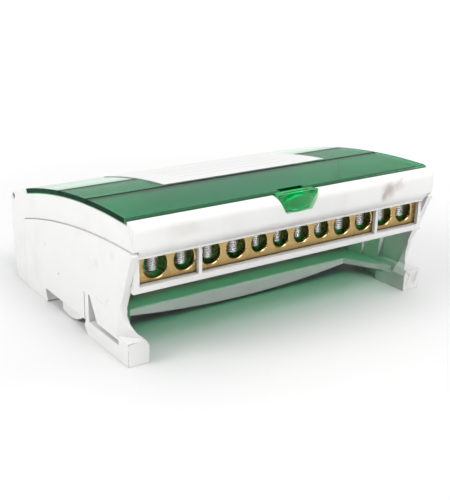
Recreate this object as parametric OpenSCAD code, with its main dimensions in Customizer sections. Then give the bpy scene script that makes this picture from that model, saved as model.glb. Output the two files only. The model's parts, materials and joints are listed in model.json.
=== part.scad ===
// Rail-mounted power distribution block: a white two-part case with feet, four drilled brass
// bars with clamp screws, and a hinged see-through cover that closes with a thumb latch.
// X runs along the length, Y from the toes to the back, Z up from the surface it stands on.

/* [Overall] */
// Length over the two end panels
length = 135; // [130:1:160]
// Depth from the front of the toes to the back of the case
depth = 100.2; // [98:0.2:112]
// Height of the highest line of the cover
height = 52; // [51:0.5:60]

/* [Top arc] */
// Radius of the arc that the cover follows from front to back
top_r = 274; // [240:2:400]
// Distance of the arc's highest line behind the toes
top_apex_y = 9; // [5:0.5:20]

/* [Case walls] */
// Thickness of the front, back and upper end walls
wall_t = 2.2; // [1.8:0.1:3]
// Thickness of the end panels that carry the feet
panel_t = 2.6; // [2.2:0.1:3.5]
// Height of the end panel's face over the upper frame's face
panel_relief = 0.6; // [0.3:0.1:1.2]
// Radius of the panel's curved top edge
seam_r = 330; // [280:5:420]
// Drop of the panel's top edge below the cover's highest line
seam_drop = 10.6; // [9.5:0.1:13]
// Gap along the seam between base and upper frame
seam_gap = 0.2; // [0.1:0.05:0.4]
// Distance of the panel's rear edge from the back of the case
panel_rear_inset = 13.7; // [10:0.1:18]
// Radius of the gently bowed back
back_r = 130; // [110:5:300]
// Radius of the lower rear edge
heel_r = 3; // [1:0.5:5]

/* [Front band] */
// How far the band bulges in front of the toes
bulge = 3.6; // [2:0.1:5]
// Radius of the band's upper edge
band_top_r = 3.4; // [2:0.1:4.5]
// Radius of the band's lower edge
band_low_r = 4.4; // [2:0.1:5]
// Drop of the bar opening's lower edge below the cover's highest line
opening_drop = 23.7; // [22:0.1:24.6]
// Height of the bar opening
opening_h = 10; // [9:0.1:10.6]
// Width of the jamb at each end of the bar opening
jamb_w = 1.8; // [1.4:0.1:3]
// Width of the two dividers in the bar opening
divider_w = 1.4; // [1:0.1:1.8]
// How far sill, jambs and dividers stand in front of the toes
sill_out = 0.7; // [0:0.1:1.2]

/* [Legs and feet] */
// Lean of each leg's front edge from its top to the ankle
leg_lean = 8.4; // [6:0.1:11]
// Distance of the ankle behind the toe's front
ankle_y = 4.8; // [4:0.1:6]
// Radius of the flare between ankle and toe
flare_r = 7.6; // [6:0.1:9]
// Width of a toe
toe_w = 8.1; // [6.5:0.1:10]
// Height of a toe
toe_h = 8.5; // [7.6:0.1:10]
// Length of the wide part of a foot
toe_l = 16.4; // [12:0.1:20]
// Width of the narrow rear part of a foot and of its post
post_w = 5.1; // [4:0.1:6]
// Thickness of the post
post_t = 3; // [2:0.1:4]
// Height of the foot bar
foot_h = 5.6; // [4.8:0.1:6.2]
// Height of the slot above the foot bar
slot_h = 1.8; // [1:0.1:2.4]
// Height of the slit behind the post
slit_h = 11; // [8:0.1:14]
// Width of the slit behind the post
slit_w = 0.5; // [0.4:0.1:1]

/* [Rail seat] */
// Width of the rail
rail_w = 35; // [35:0.1:36]
// Play of the rail in its seat
rail_play = 0.4; // [0.2:0.1:0.8]
// Distance of the seat's front end behind the toes
rail_front_y = 32.3; // [30:0.1:34]
// Height of the seat above the standing surface
rail_z = 5.3; // [4.8:0.1:6]
// Thickness of the floor over the rail
floor_t = 1.6; // [1.2:0.1:2.4]
// Reach of the fixed hook under the rail's flange
hook_reach = 1.5; // [1:0.1:2]
// Reach of the sprung nose under the rail's flange
nose_reach = 0.7; // [0.4:0.1:1]
// Width of the hook rail along the back of the seat
hook_w = 2.8; // [2:0.1:4]
// Thickness of the bowed lip in front of the rail
lip_t = 4; // [2:0.1:5]
// Length of the bowed lip
lip_l = 103; // [90:1:106]
// Clear height under the middle of the lip
lip_low = 1.2; // [0.3:0.1:1.8]
// Length of the rounded keel in the rail's channel
keel_l = 17; // [12:0.5:20]
// Radius of the keel's lower edge
keel_r = 20; // [16:1:30]

/* [Bars] */
// Depth of a bar
bar_d = 7; // [6.4:0.1:8]
// Height of a bar
bar_h = 12; // [12:0.1:13]
// Radius of a bar's long edges
bar_edge_r = 1; // [0.4:0.1:1]
// Diameter of the one large wire bore
bore_large = 9.3; // [8.2:0.1:9.3]
// Diameter of the medium wire bores
bore_medium = 8.1; // [7.1:0.1:8.1]
// Diameter of the small wire bores
bore_small = 7; // [6:0.1:7]
// Chamfer round each wire bore
bore_chamfer = 0.3; // [0.15:0.05:0.3]
// Distance of the front bar's face behind the toes' front
bar_front_y = 1; // [0.6:0.1:2]
// Clearance of a bar in its seat
bar_gap = 0.2; // [0.1:0.05:0.4]
// Height of the second and third bars above the floor
bar_lift = 4.1; // [3.5:0.1:6]
// Height of the rear bar's bore line
rear_axis_z = 22.5; // [22:0.1:24]

/* [Screws] */
// Shank diameter of the larger screws
screw_d = 5; // [4.4:0.1:5]
// Shank diameter of the smaller screws
screw_small_d = 4; // [3.4:0.1:4]
// Head diameter of the larger screws
head_d = 7; // [6.4:0.1:7.6]
// Head diameter of the smaller screws
head_small_d = 6; // [5.4:0.1:6.4]
// Height of the screw heads
head_h = 3; // [2.4:0.1:3.4]
// Radial clearance of a screw in its hole
screw_gap = 0.1; // [0.05:0.05:0.15]

/* [Cover] */
// Thickness of the cover
cover_t = 1.8; // [1.5:0.1:2.2]
// Gap between the cover and the case
cover_gap = 0.3; // [0.2:0.05:0.5]
// Distance of the front groove behind the toes
groove_front_y = 29.2; // [24:0.1:34]
// Distance of the rear groove behind the toes
groove_rear_y = 52; // [46:0.1:60]
// Width and depth of the grooves
groove_w = 0.8; // [0.5:0.1:1.2]
// Radius of the cover's front edge
lip_r = 1.4; // [0.8:0.1:1.5]

/* [Hinge] */
// Distance of the hinge line from the back of the case
hinge_inset = 3.1; // [2.8:0.1:4]
// Radius of the cover's hinge barrel
barrel_r = 1.9; // [1.7:0.1:2.2]
// Radius of the hinge pins
pin_r = 1.15; // [0.9:0.05:1.3]
// Radial clearance of the hinge pins
pin_gap = 0.05; // [0.03:0.01:0.08]
// Reach of the rear ears around the hinge
ear_r = 15; // [12:0.5:18]

/* [Latch] */
// Half width of the latch notch at its top
notch_top = 9.6; // [8:0.1:12]
// Half width of the latch notch at its bottom
notch_low = 5.8; // [5:0.1:7]
// Depth of the latch notch below the band's top
notch_h = 6.4; // [6:0.1:8]
// Thickness of the latch tongue
tongue_t = 1.2; // [1:0.1:1.6]
// Half length of the thumb grip
grip_l = 7.2; // [6:0.1:7.4]
// Half height of the thumb grip
grip_r = 2.4; // [2:0.1:2.5]
// How far the thumb grip stands out of the band
grip_out = 1.4; // [0.8:0.1:2]
// Half width of the slot behind the latch tongue
latch_slot_w = 5.4; // [4:0.1:6.5]
// Depth of the slot behind the latch tongue
latch_slot_d = 2.3; // [1.4:0.1:2.8]

/* [Label] */
// Width of the paper label along the cover
label_w = 75; // [40:1:90]
// Depth of the paper label from front to back
label_d = 48; // [30:1:50]
// Offset of the label from the middle of the cover
label_x = 2.5; // [-10:0.5:10]
// Thickness of the label
label_t = 0.2; // [0.1:0.05:0.3]
// Air under the label
label_gap = 0.05; // [0.03:0.01:0.1]

/* [Hidden] */

$fn = 48;
// Facets of the large arcs
arc_fn = 720;
// Overlap that joins solids of one moulding
weld = 0.5;
// Reach of cutters past the faces they cut
past = 2;

white = [0.93, 0.93, 0.91];
brass = [0.75, 0.58, 0.28];
zinc = [0.76, 0.77, 0.78];
green = [0.04, 0.42, 0.2, 0.6];

// Half lengths: end panels, upper frame, clear inside, bars
half = length / 2;
frame_half = half - panel_relief;
inner_half = half - panel_t;
bar_half = inner_half - cover_gap;
cover_inner_half = inner_half - cover_gap;

// Sizes of the front band
opening_z = height - opening_drop;
opening_top = opening_z + opening_h;
open_half = inner_half - jamb_w;
ridge_z = height - 0.8;
ridge_back_y = 0.1;
cover_front_y = ridge_back_y + cover_gap;
ledge_z = top_z(cover_front_y, cover_t + cover_gap);

// Seam between base and upper frame
seam_apex_y = -5;
seam_apex_z = height - seam_drop;
panel_rear_y = depth - panel_rear_inset;

// Legs and feet
leg_top_y = -bulge;
leg_top_z = seam_z(leg_top_y) - 1.2;
leg_corner = 1.2;
waist = 0.3;
flare_y = ankle_y - flare_r + waist;
flare_z = toe_h + sqrt(pow(flare_r, 2) - pow(flare_y, 2));
ankle_z = flare_z + 4;
loop_front_y = ankle_y + 2;
post_front_y = rail_front_y - post_t;
nose_y = rail_front_y + nose_reach;
nose_z = rail_z - 1.4;
slit_top = rail_z + slit_h;

// Height of the bowed back's middle
back_mid_z = 20;

// Rail seat and floor
rail_back_y = rail_front_y + rail_w + rail_play;
hook_tip_y = rail_back_y - hook_reach;
hook_back_y = rail_back_y + hook_w;
hook_tip_z = 0.7;
floor_z = rail_z + floor_t;
lip_y = rail_front_y - lip_t;
lip_half = lip_l / 2;
lip_end_drop = 0.75;
lip_rise = rail_z - lip_end_drop - lip_low;
lip_bow_r = (pow(lip_half, 2) + pow(lip_rise, 2)) / (2 * lip_rise);
floor_back_y = back_y(floor_z) - wall_t - 2 * cover_gap;

// Hinge line: the barrel lies just under the cover's arc
hinge_y = depth - hinge_inset;
hinge_z = top_z(hinge_y, barrel_r);
pin_end_inset = 0.6;
back_top_z = hinge_z - barrel_r - cover_gap;

// Bar rows, front face and underside of each
bar_front = [bar_front_y, opening_z];
band_back_y = bar_front_y - bar_gap;
barrier_y = rail_front_y + (rail_w + rail_play) / 2;
bar_second = [rail_front_y + 1.7, floor_z + bar_lift];
bar_third = [2 * barrier_y - bar_second[0] - bar_d, floor_z + bar_lift];
bar_rear = [hinge_y - barrel_r - 3 - bar_d, rear_axis_z - bar_h / 2];

// Shelves, ribs and barrier inside the base
shelf_t = 2.2;
sill_z = opening_z - shelf_t;
shelf_back_y = bar_front[0] + bar_d + bar_gap + 1;
stop_h = 2.7;
rib_t = 2;
end_rib_x = half - post_w - 1.6;
end_rib_y = lip_y - 0.9;
liner_y = end_rib_y - 9.4;
liner_t = 1.3;
rib_top_z = bar_second[1] + 0.65 * bar_h;
barrier_t = 1.6;
barrier_top_z = height - 9;
barrier_half = inner_half - 1;
barrier_seat_z = rib_top_z - 2.2;
groove_half = barrier_t / 2 + seam_gap;

// Wire bores of one bar from left to right: 2 is large, 1 medium, 0 small
bore_kinds = [2, 1, 1, 1, 0, 0, 0, 0, 1, 1, 1, 1];
bore_sizes = [bore_small, bore_medium, bore_large];
bore_last = len(bore_kinds) - 1;
row_margin = 2;
bore_web = (2 * (open_half - row_margin) - rim_sum(bore_last)) / bore_last;
divider_x = [(bore_x(1) + bore_x(2)) / 2, (bore_x(9) + bore_x(10)) / 2];
screw_tip_share = 0.6;

// The row frame stands at the middle of the depth
tongue_y = -bulge + 1;
front_y = -bulge - grip_out;
mid_y = (front_y + depth) / 2;

// Height of the cover's arc, moved inwards by a drop
function top_z(y, drop) = height - top_r + sqrt(pow(top_r - drop, 2) - pow(y - top_apex_y, 2));
// Height of the seam
function seam_z(y) = seam_apex_z - seam_r + sqrt(pow(seam_r, 2) - pow(y - seam_apex_y, 2));
// Outer face of the bowed back
function back_y(z) = depth - back_r + sqrt(pow(back_r, 2) - pow(z - back_mid_z, 2));
// Rim diameter of a bore, the rims' sum up to it, and its place along the bar
function rim_d(i) = bore_sizes[bore_kinds[i]] + 2 * bore_chamfer;
function rim_sum(i) = i < 0 ? 0 : rim_d(i) + rim_sum(i - 1);
function bore_x(i) = row_margin - open_half + rim_sum(i - 1) + i * bore_web + rim_d(i) / 2;

// Stands a part drawn from the toes into the row frame
module placed() {
    translate([0, -mid_y, 0]) children();
}

// Carries a side profile, drawn as depth and height, along the length
module along_x(x0, x1) {
    translate([x0, 0, 0]) rotate([90, 0, 90]) linear_extrude(x1 - x0) children();
}

// Carries a front profile, drawn as length and height, along the depth
module along_y(y0, y1) {
    translate([0, y1, 0]) rotate([90, 0, 0]) linear_extrude(y1 - y0) children();
}

// The same thing at both ends
module mirrored() {
    children();
    mirror([1, 0, 0]) children();
}

// A rectangle between two corners
module span(a0, a1, b0, b1) {
    translate([a0, b0]) square([a1 - a0, b1 - b0]);
}

// Side discs: the cover's arc, the seam, the bowed back and the hinge line
module top_disc(drop) {
    translate([top_apex_y, height - top_r]) circle(r = top_r - drop, $fn = arc_fn);
}

module seam_disc(rise) {
    translate([seam_apex_y, seam_apex_z - seam_r]) circle(r = seam_r + rise, $fn = arc_fn);
}

module back_disc(inset) {
    translate([depth - back_r, back_mid_z]) circle(r = back_r - inset, $fn = arc_fn);
}

module hinge_disc(r) {
    translate([hinge_y, hinge_z]) circle(r = r);
}

module flare_disc() {
    translate([flare_y, flare_z]) circle(r = flare_r, $fn = 96);
}

// End panel seen from the side, with its leg, rail seat, slot and slit
module panel_profile() {
    difference() {
        intersection() {
            seam_disc(0);
            polygon([
                [leg_top_y, leg_top_z], [leg_top_y + leg_corner, leg_top_z + leg_corner],
                [leg_top_y + leg_corner, height], [panel_rear_y, height], [panel_rear_y, 0],
                [0, 0], [0, flare_z], [ankle_y, flare_z], [leg_top_y + leg_lean, ankle_z]
            ]);
        }
        flare_disc();
        rail_profile();
        loop_profile();
        span(rail_front_y, rail_front_y + slit_w, 0, slit_top);
    }
}

// Space of the rail, with the undercut of the fixed hook
module rail_profile() {
    polygon([
        [post_front_y, -past], [post_front_y, rail_z], [rail_back_y, rail_z],
        [hook_tip_y, hook_tip_z], [hook_tip_y + hook_tip_z, 0], [hook_tip_y + hook_tip_z, -past]
    ]);
}

// Opening between leg, foot bar and post
module loop_profile() {
    polygon([
        [post_front_y, slit_top], [post_front_y - 1, slit_top],
        [post_front_y - slit_h * 0.6, foot_h + slot_h], [loop_front_y, foot_h + slot_h],
        [loop_front_y, foot_h], [post_front_y, foot_h]
    ]);
}

// Foot bar with its sprung nose for the rail's flange
module foot_profile() {
    polygon([
        [0, 0], [rail_front_y - hook_reach, 0], [nose_y, nose_z - 0.9], [nose_y, nose_z],
        [rail_front_y, nose_z + 0.4], [rail_front_y, rail_z + weld], [post_front_y, rail_z + weld],
        [post_front_y, foot_h], [0, foot_h]
    ]);
}

module foot() {
    along_x(half - post_w, half) foot_profile();
    along_x(half - post_w, inner_half) span(post_front_y, rail_front_y, 0, slit_top);
    along_x(half - toe_w, half - post_w + weld) polygon([
        [0, 0], [toe_l, 0], [toe_l, foot_h - slot_h], [loop_front_y, foot_h], [0, foot_h]
    ]);
    intersection() {
        along_x(half - toe_w, half) difference() {
            polygon([
                [0, 0], [loop_front_y, 0], [loop_front_y, ankle_z], [ankle_y, ankle_z],
                [ankle_y, flare_z], [0, flare_z]
            ]);
            flare_disc();
        }
        along_y(-past, loop_front_y + past) polygon([
            [half - toe_w, 0], [half + past, 0], [half + past, height], [inner_half, ankle_z],
            [inner_half, ankle_z - 3], [half - 0.45 * toe_w, toe_h + 4.5], [half - 0.62 * toe_w, toe_h + 1.6],
            [half - 0.83 * toe_w, toe_h + 0.3], [half - toe_w, toe_h - 2]
        ]);
    }
}

// Corner taken off the front of the ankle, wider towards the toe
module ankle_cut() {
    side = (half - ankle_y) / sqrt(2);
    along = (half + ankle_y) / sqrt(2);
    rotate([0, 0, -45]) along_y(along - toe_w, along + toe_w) polygon([
        [side - 0.21 * (ankle_z + 1 - toe_h), toe_h], [side, ankle_z + 1], [side + toe_w, ankle_z + 1],
        [side + toe_w, toe_h]
    ]);
}

// Thicker inside of the end panel, which closes the loop from the inside
module liner() {
    low_z = foot_h - weld;
    web_z = foot_h + slot_h + 1.4;
    difference() {
        along_x(half - post_w, inner_half + weld) polygon([
            [loop_front_y - weld, low_z], [rail_front_y, low_z], [rail_front_y, sill_z], [liner_y, sill_z],
            [liner_y + 0.9, web_z], [loop_front_y - weld, web_z]
        ]);
        along_x(half - post_w + liner_t, half + past) loop_profile();
    }
}

// Rounded keel that hangs in the rail's channel at each end
module keel() {
    keel_back = barrier_y + rail_w * 0.13;
    along_x(inner_half - weld, half - 1.2) intersection() {
        span(keel_back - keel_l, keel_back, 0, rail_z + weld);
        translate([keel_back - 6, keel_r + hook_tip_z / 2]) circle(r = keel_r, $fn = 96);
    }
}

// Three-cornered web between floor and foot
module gusset() {
    translate([0, 0, floor_z - slot_h - 0.4]) linear_extrude(slot_h + 0.4) polygon([
        [lip_half - past, lip_y], [lip_half - past, rail_front_y], [half - post_w + weld, rail_front_y],
        [half - post_w + weld, loop_front_y + 3.7], [half - post_w - 0.8, loop_front_y + 3.7],
        [lip_half, lip_y]
    ]);
}

// Floor over the rail with the bowed lip in front and the hook rail behind
module floor_plate() {
    along_x(-inner_half - weld, inner_half + weld) span(lip_y + 0.8, panel_rear_y - weld, rail_z, floor_z);
    along_x(-inner_half, inner_half) span(panel_rear_y - past, floor_back_y, rail_z, floor_z);
    along_x(-inner_half - weld, inner_half + weld) intersection() {
        span(lip_y, lip_y + past, rail_z, floor_z);
        translate([lip_y + 0.8, floor_z - 0.8]) circle(r = 0.8);
    }
    along_y(lip_y, rail_front_y) intersection() {
        span(-lip_half, lip_half, 0, floor_z - 0.8);
        translate([0, lip_low + lip_bow_r]) circle(r = lip_bow_r, $fn = arc_fn);
    }
    along_x(-inner_half - weld, inner_half + weld) polygon([
        [hook_tip_y, hook_tip_z], [hook_tip_y + hook_tip_z, 0], [hook_back_y, 0],
        [hook_back_y, rail_z + weld], [rail_back_y, rail_z + weld], [rail_back_y, rail_z]
    ]);
}

// Sill, jambs and dividers of the bar opening, with the front bar's shelf behind
module sill() {
    along_x(-inner_half - weld, inner_half + weld) {
        span(-sill_out, shelf_back_y, sill_z, opening_z);
        span(shelf_back_y - 1, shelf_back_y, sill_z, opening_z + stop_h);
    }
    mirrored() along_x(open_half, inner_half + weld) {
        span(-sill_out, band_back_y, sill_z, opening_top - seam_gap);
    }
    for (x = divider_x) {
        along_x(x - divider_w / 2, x + divider_w / 2) {
            span(-sill_out, band_back_y, sill_z, opening_top - seam_gap);
        }
    }
}

// Seat of one bar in a rib
module bar_seat(bar) {
    span(bar[0] - bar_gap, bar[0] + bar_d + bar_gap, bar[1], height);
}

// Rib across the case with the seats of the three inner bars
module rib_profile(front_y, foot_y) {
    difference() {
        union() {
            polygon([
                [foot_y, floor_z - weld], [front_y, bar_second[1] - 0.4], [front_y, rib_top_z],
                [bar_third[0] + bar_d + rib_t, rib_top_z], [bar_third[0] + bar_d + rib_t, floor_z - weld]
            ]);
            polygon([
                [bar_rear[0] - 4, floor_z - weld], [bar_rear[0] - rib_t, bar_rear[1] + 0.5 * bar_h],
                [bar_rear[0] + bar_d + rib_t, bar_rear[1] + 0.5 * bar_h],
                [bar_rear[0] + bar_d + rib_t, floor_z - weld]
            ]);
        }
        bar_seat(bar_second);
        bar_seat(bar_third);
        bar_seat(bar_rear);
    }
}

module ribs() {
    mirrored() along_x(end_rib_x, half - post_w + weld) rib_profile(end_rib_y, end_rib_y);
    for (x = divider_x) {
        along_x(x - rib_t / 2, x + rib_t / 2) {
            rib_profile(bar_second[0] - bar_gap - 0.8, bar_second[0] + bar_d + rib_t);
        }
    }
}

// Low wall between the two inner bars that joins the ribs, with a groove for the partition
module grooved_ribs() {
    difference() {
        union() {
            ribs();
            along_x(-inner_half - weld, inner_half + weld) {
                span(barrier_y - groove_half - 0.8, barrier_y + groove_half + 0.8, floor_z - weld, rib_top_z);
            }
        }
        along_x(-barrier_half - seam_gap, barrier_half + seam_gap) {
            span(barrier_y - groove_half, barrier_y + groove_half, barrier_seat_z, height);
        }
    }
}

module base() {
    color(white) placed() {
        mirrored() {
            difference() {
                union() {
                    along_x(inner_half, half) panel_profile();
                    foot();
                }
                ankle_cut();
            }
            liner();
            keel();
            gusset();
        }
        floor_plate();
        sill();
        grooved_ribs();
    }
}

// Plate that stands in the low wall's groove and parts the two inner bars
module partition() {
    color(white) placed() along_x(-barrier_half, barrier_half) {
        span(barrier_y - barrier_t / 2, barrier_y + barrier_t / 2, barrier_seat_z, barrier_top_z);
    }
}

// Bulged band over the bar opening, hollow behind
module band_profile() {
    difference() {
        union() {
            span(-bulge, ridge_back_y, opening_top + band_low_r, ridge_z - band_top_r);
            span(band_top_r - bulge, ridge_back_y, ridge_z - band_top_r, ridge_z);
            span(-bulge / 2, band_back_y, opening_top, ledge_z);
            span(0, wall_t, ledge_z - wall_t, ledge_z);
            intersection() {
                span(-bulge, band_back_y, opening_top, ridge_z);
                union() {
                    translate([band_top_r - bulge, ridge_z - band_top_r]) circle(r = band_top_r);
                    translate([band_low_r - bulge, opening_top + band_low_r]) circle(r = band_low_r);
                }
            }
        }
        span(wall_t - bulge, wall_t + past, opening_top + wall_t, ledge_z - wall_t);
        span(ridge_back_y, wall_t + past, ledge_z, height);
    }
}

// Upper end wall with the ear that carries the hinge pin
module frame_end_profile() {
    difference() {
        intersection() {
            back_disc(0);
            span(wall_t - bulge - weld, depth, 0, height);
            union() {
                top_disc(cover_t + cover_gap);
                intersection() {
                    top_disc(0);
                    hinge_disc(ear_r);
                }
            }
        }
        heel_profile();
        hinge_disc(pin_r + pin_gap);
    }
}

// Corner taken off the lower rear edge
module heel_profile() {
    heel_y = back_y(0);
    difference() {
        span(heel_y - heel_r, heel_y + past, -past, heel_r);
        translate([heel_y - heel_r, heel_r]) circle(r = heel_r);
    }
}

module back_wall_profile() {
    difference() {
        intersection() {
            back_disc(0);
            span(depth - back_r / 2, depth, 0, back_top_z);
        }
        back_disc(wall_t);
        heel_profile();
    }
}

// Wire openings of the back wall: the rear bar's row and the clear way under it
module back_openings() {
    along_y(hinge_y - 6, depth + past) {
        difference() {
            span(-open_half, open_half, rear_axis_z - opening_h / 2, rear_axis_z + opening_h / 2);
            for (x = divider_x) span(x - divider_w / 2, x + divider_w / 2, 0, height);
        }
        span(-open_half, open_half, floor_z, rear_axis_z - opening_h / 2 - wall_t);
    }
}

module latch_notch() {
    along_y(-bulge - past, wall_t + past) polygon([
        [-notch_top, height], [-notch_top, ridge_z], [-notch_low, ridge_z - notch_h],
        [notch_low, ridge_z - notch_h], [notch_top, ridge_z], [notch_top, height]
    ]);
}

module upper_frame() {
    color(white) placed() difference() {
        union() {
            along_x(-frame_half, frame_half) band_profile();
            mirrored() along_x(inner_half, frame_half) frame_end_profile();
            along_x(-inner_half - weld, inner_half + weld) back_wall_profile();
        }
        mirrored() along_x(inner_half - seam_gap, half + past) intersection() {
            seam_disc(seam_gap);
            span(-bulge - past, panel_rear_y + seam_gap, -past, height);
        }
        latch_notch();
        back_openings();
    }
}

// Side profile of the cover's plate from its front edge to the hinge
module cover_profile() {
    front_z = top_z(cover_front_y, 0);
    difference() {
        intersection() {
            difference() {
                top_disc(0);
                top_disc(cover_t);
            }
            span(cover_front_y, hinge_y, 0, height);
        }
        difference() {
            span(cover_front_y - past, cover_front_y + lip_r, front_z - lip_r, height + past);
            translate([cover_front_y + lip_r, front_z - lip_r]) circle(r = lip_r);
        }
        for (y = [groove_front_y, groove_rear_y]) {
            span(y - groove_w / 2, y + groove_w / 2, top_z(y, groove_w), height);
        }
    }
    hinge_disc(barrel_r);
}

// Thumb grip: a lens-shaped pad with a domed front
module grip() {
    lens_r = (pow(grip_l, 2) + pow(grip_r, 2)) / (2 * grip_r);
    reach = tongue_y - front_y;
    dome_r = (pow(grip_l, 2) + pow(reach, 2)) / (2 * reach);
    grip_z = ridge_z - notch_h / 2 + 0.6;
    intersection() {
        along_y(front_y - past, tongue_y + tongue_t) intersection() {
            translate([0, grip_z + grip_r - lens_r]) circle(r = lens_r, $fn = 128);
            translate([0, grip_z - grip_r + lens_r]) circle(r = lens_r, $fn = 128);
        }
        translate([0, front_y + dome_r, grip_z]) sphere(r = dome_r, $fn = 128);
    }
}

// Latch tongue with its grip, hanging from the cover's front edge
module latch() {
    side_gap = 0.5;
    top_edge = top_z(cover_front_y, 0) - 0.3;
    bridge_z = ledge_z + cover_gap;
    bridge = notch_top - (notch_top - notch_low) * (ridge_z - bridge_z) / notch_h - side_gap;
    along_y(tongue_y, tongue_y + tongue_t) polygon([
        [-notch_top + side_gap, top_edge], [-notch_top + side_gap, ridge_z],
        [-notch_low + side_gap, ridge_z - notch_h + 0.9], [notch_low - side_gap, ridge_z - notch_h + 0.9],
        [notch_top - side_gap, ridge_z], [notch_top - side_gap, top_edge]
    ]);
    difference() {
        along_x(-bridge, bridge) span(tongue_y, cover_front_y + weld, bridge_z, top_edge);
        along_x(-latch_slot_w, latch_slot_w) {
            span(tongue_y + tongue_t, tongue_y + 1.7 * tongue_t, 0, height + past);
        }
    }
    grip();
}

module cover() {
    slot_y = cover_front_y + weld + 0.1;
    color(green) placed() {
        difference() {
            along_x(-frame_half, frame_half) cover_profile();
            mirrored() along_x(cover_inner_half, half + past) hinge_disc(ear_r + cover_gap);
            along_x(-latch_slot_w, latch_slot_w) span(slot_y, slot_y + latch_slot_d, 0, height + past);
        }
        mirrored() along_x(cover_inner_half - weld, frame_half - pin_end_inset) hinge_disc(pin_r);
        latch();
    }
}

module label() {
    color("white") placed() along_x(label_x - label_w / 2, label_x + label_w / 2) intersection() {
        difference() {
            top_disc(-label_gap - label_t);
            top_disc(-label_gap);
        }
        span(groove_front_y + 2, groove_front_y + 2 + label_d, 0, height + past);
    }
}

// Rounded section of a bar
module bar_profile() {
    r = bar_edge_r;
    span(0, bar_d, r, bar_h - r);
    span(r, bar_d - r, 0, bar_h);
    for (y = [r, bar_d - r], z = [r, bar_h - r]) {
        translate([y, z]) circle(r = r);
    }
}

// Diameter of the screw that clamps a bore
function shank_d(i) = bore_kinds[i] == 0 ? screw_small_d : screw_d;

// One bar with its wire bores and the screw holes above them
module bar(at) {
    color(brass) placed() translate([0, at[0], at[1]]) difference() {
        along_x(-bar_half, bar_half) bar_profile();
        for (i = [0 : bore_last]) {
            translate([bore_x(i), 0, bar_h / 2]) bore(bore_sizes[bore_kinds[i]] / 2);
            translate([bore_x(i), bar_d / 2, bar_h / 2]) cylinder(r = shank_d(i) / 2 + screw_gap, h = bar_h);
        }
    }
}

// Wire bore with a chamfer on both faces
module bore(r) {
    rim = r + bore_chamfer;
    rotate([-90, 0, 0]) {
        translate([0, 0, -past]) cylinder(r = r, h = bar_d + 2 * past);
        translate([0, 0, -weld]) cylinder(r1 = rim + weld, r2 = r - weld, h = bore_chamfer + 2 * weld);
        translate([0, 0, bar_d - bore_chamfer - weld]) {
            cylinder(r1 = r - weld, r2 = rim + weld, h = bore_chamfer + 2 * weld);
        }
    }
}

// Slotted cheese-head screw over one bore, its head on the bar
module screw(d, head, bore_r) {
    tip = bar_h / 2 - screw_tip_share * bore_r;
    slot_w = head_h * 0.4;
    translate([0, 0, tip]) cylinder(d = d, h = bar_h - tip + weld);
    translate([0, 0, bar_h]) difference() {
        cylinder(d = head, h = head_h);
        translate([-head, -slot_w / 2, head_h / 2]) cube([2 * head, slot_w, head_h]);
    }
}

// The screws of one bar that have the same size
module screw_row(at, small) {
    color(zinc) placed() for (i = [0 : bore_last]) {
        if ((bore_kinds[i] == 0) == small) {
            translate([bore_x(i), at[0] + bar_d / 2, at[1]]) {
                screw(shank_d(i), small ? head_small_d : head_d, bore_sizes[bore_kinds[i]] / 2);
            }
        }
    }
}

base();
upper_frame();
partition();
cover();
label();
bar(bar_front);  // busbar_front
bar(bar_second);  // busbar_second
bar(bar_third);  // busbar_third
bar(bar_rear);  // busbar_rear
screw_row(bar_front, false);  // screws_front_m5
screw_row(bar_front, true);  // screws_front_m4
screw_row(bar_second, false);  // screws_second_m5
screw_row(bar_second, true);  // screws_second_m4
screw_row(bar_third, false);  // screws_third_m5
screw_row(bar_third, true);  // screws_third_m4
screw_row(bar_rear, false);  // screws_rear_m5
screw_row(bar_rear, true);  // screws_rear_m4
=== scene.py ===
"""Looks of a rail-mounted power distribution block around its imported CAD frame.

The CAD nodes keep their shape and get procedural finishes. The clamp screws are rebuilt as
numpy surfaces with cut threads and slotted heads, because the solids hold plain shanks.
"""

from __future__ import annotations

import json
import logging
import math
from dataclasses import dataclass
from enum import Enum
from functools import cache

import bpy
import numpy as np
from mathutils import Matrix, Vector

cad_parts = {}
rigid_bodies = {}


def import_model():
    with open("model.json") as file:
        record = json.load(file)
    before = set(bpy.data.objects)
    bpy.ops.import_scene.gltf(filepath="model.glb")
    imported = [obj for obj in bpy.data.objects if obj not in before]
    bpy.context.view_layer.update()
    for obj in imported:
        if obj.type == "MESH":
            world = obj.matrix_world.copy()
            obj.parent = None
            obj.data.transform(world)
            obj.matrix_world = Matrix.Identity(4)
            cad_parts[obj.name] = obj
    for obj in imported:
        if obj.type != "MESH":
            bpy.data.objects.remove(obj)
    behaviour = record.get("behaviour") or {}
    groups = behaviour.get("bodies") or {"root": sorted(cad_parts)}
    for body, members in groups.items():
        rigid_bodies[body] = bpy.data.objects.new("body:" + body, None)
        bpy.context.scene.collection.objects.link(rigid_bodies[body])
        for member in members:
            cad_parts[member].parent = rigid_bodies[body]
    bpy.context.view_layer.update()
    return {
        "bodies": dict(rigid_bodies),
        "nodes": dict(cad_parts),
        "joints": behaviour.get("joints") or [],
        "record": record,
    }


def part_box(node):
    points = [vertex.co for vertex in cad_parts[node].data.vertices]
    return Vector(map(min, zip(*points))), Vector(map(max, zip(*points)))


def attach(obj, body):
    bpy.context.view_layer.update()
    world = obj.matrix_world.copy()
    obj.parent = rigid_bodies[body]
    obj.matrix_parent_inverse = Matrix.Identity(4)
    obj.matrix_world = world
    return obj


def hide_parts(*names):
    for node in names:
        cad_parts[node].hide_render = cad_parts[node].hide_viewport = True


LOG = logging.getLogger("distribution_block")
CASE_BODY = "case"
MM = 0.001
# Angle in degrees over which an edge of a new piece stays sharp.
CREASE = 35.0
# Name of the attribute that says how deep a corner lies in a thread.
GROOVE = "groove"
BEVEL_SAMPLES = 4
GRAIN_DETAIL = 4.0
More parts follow.
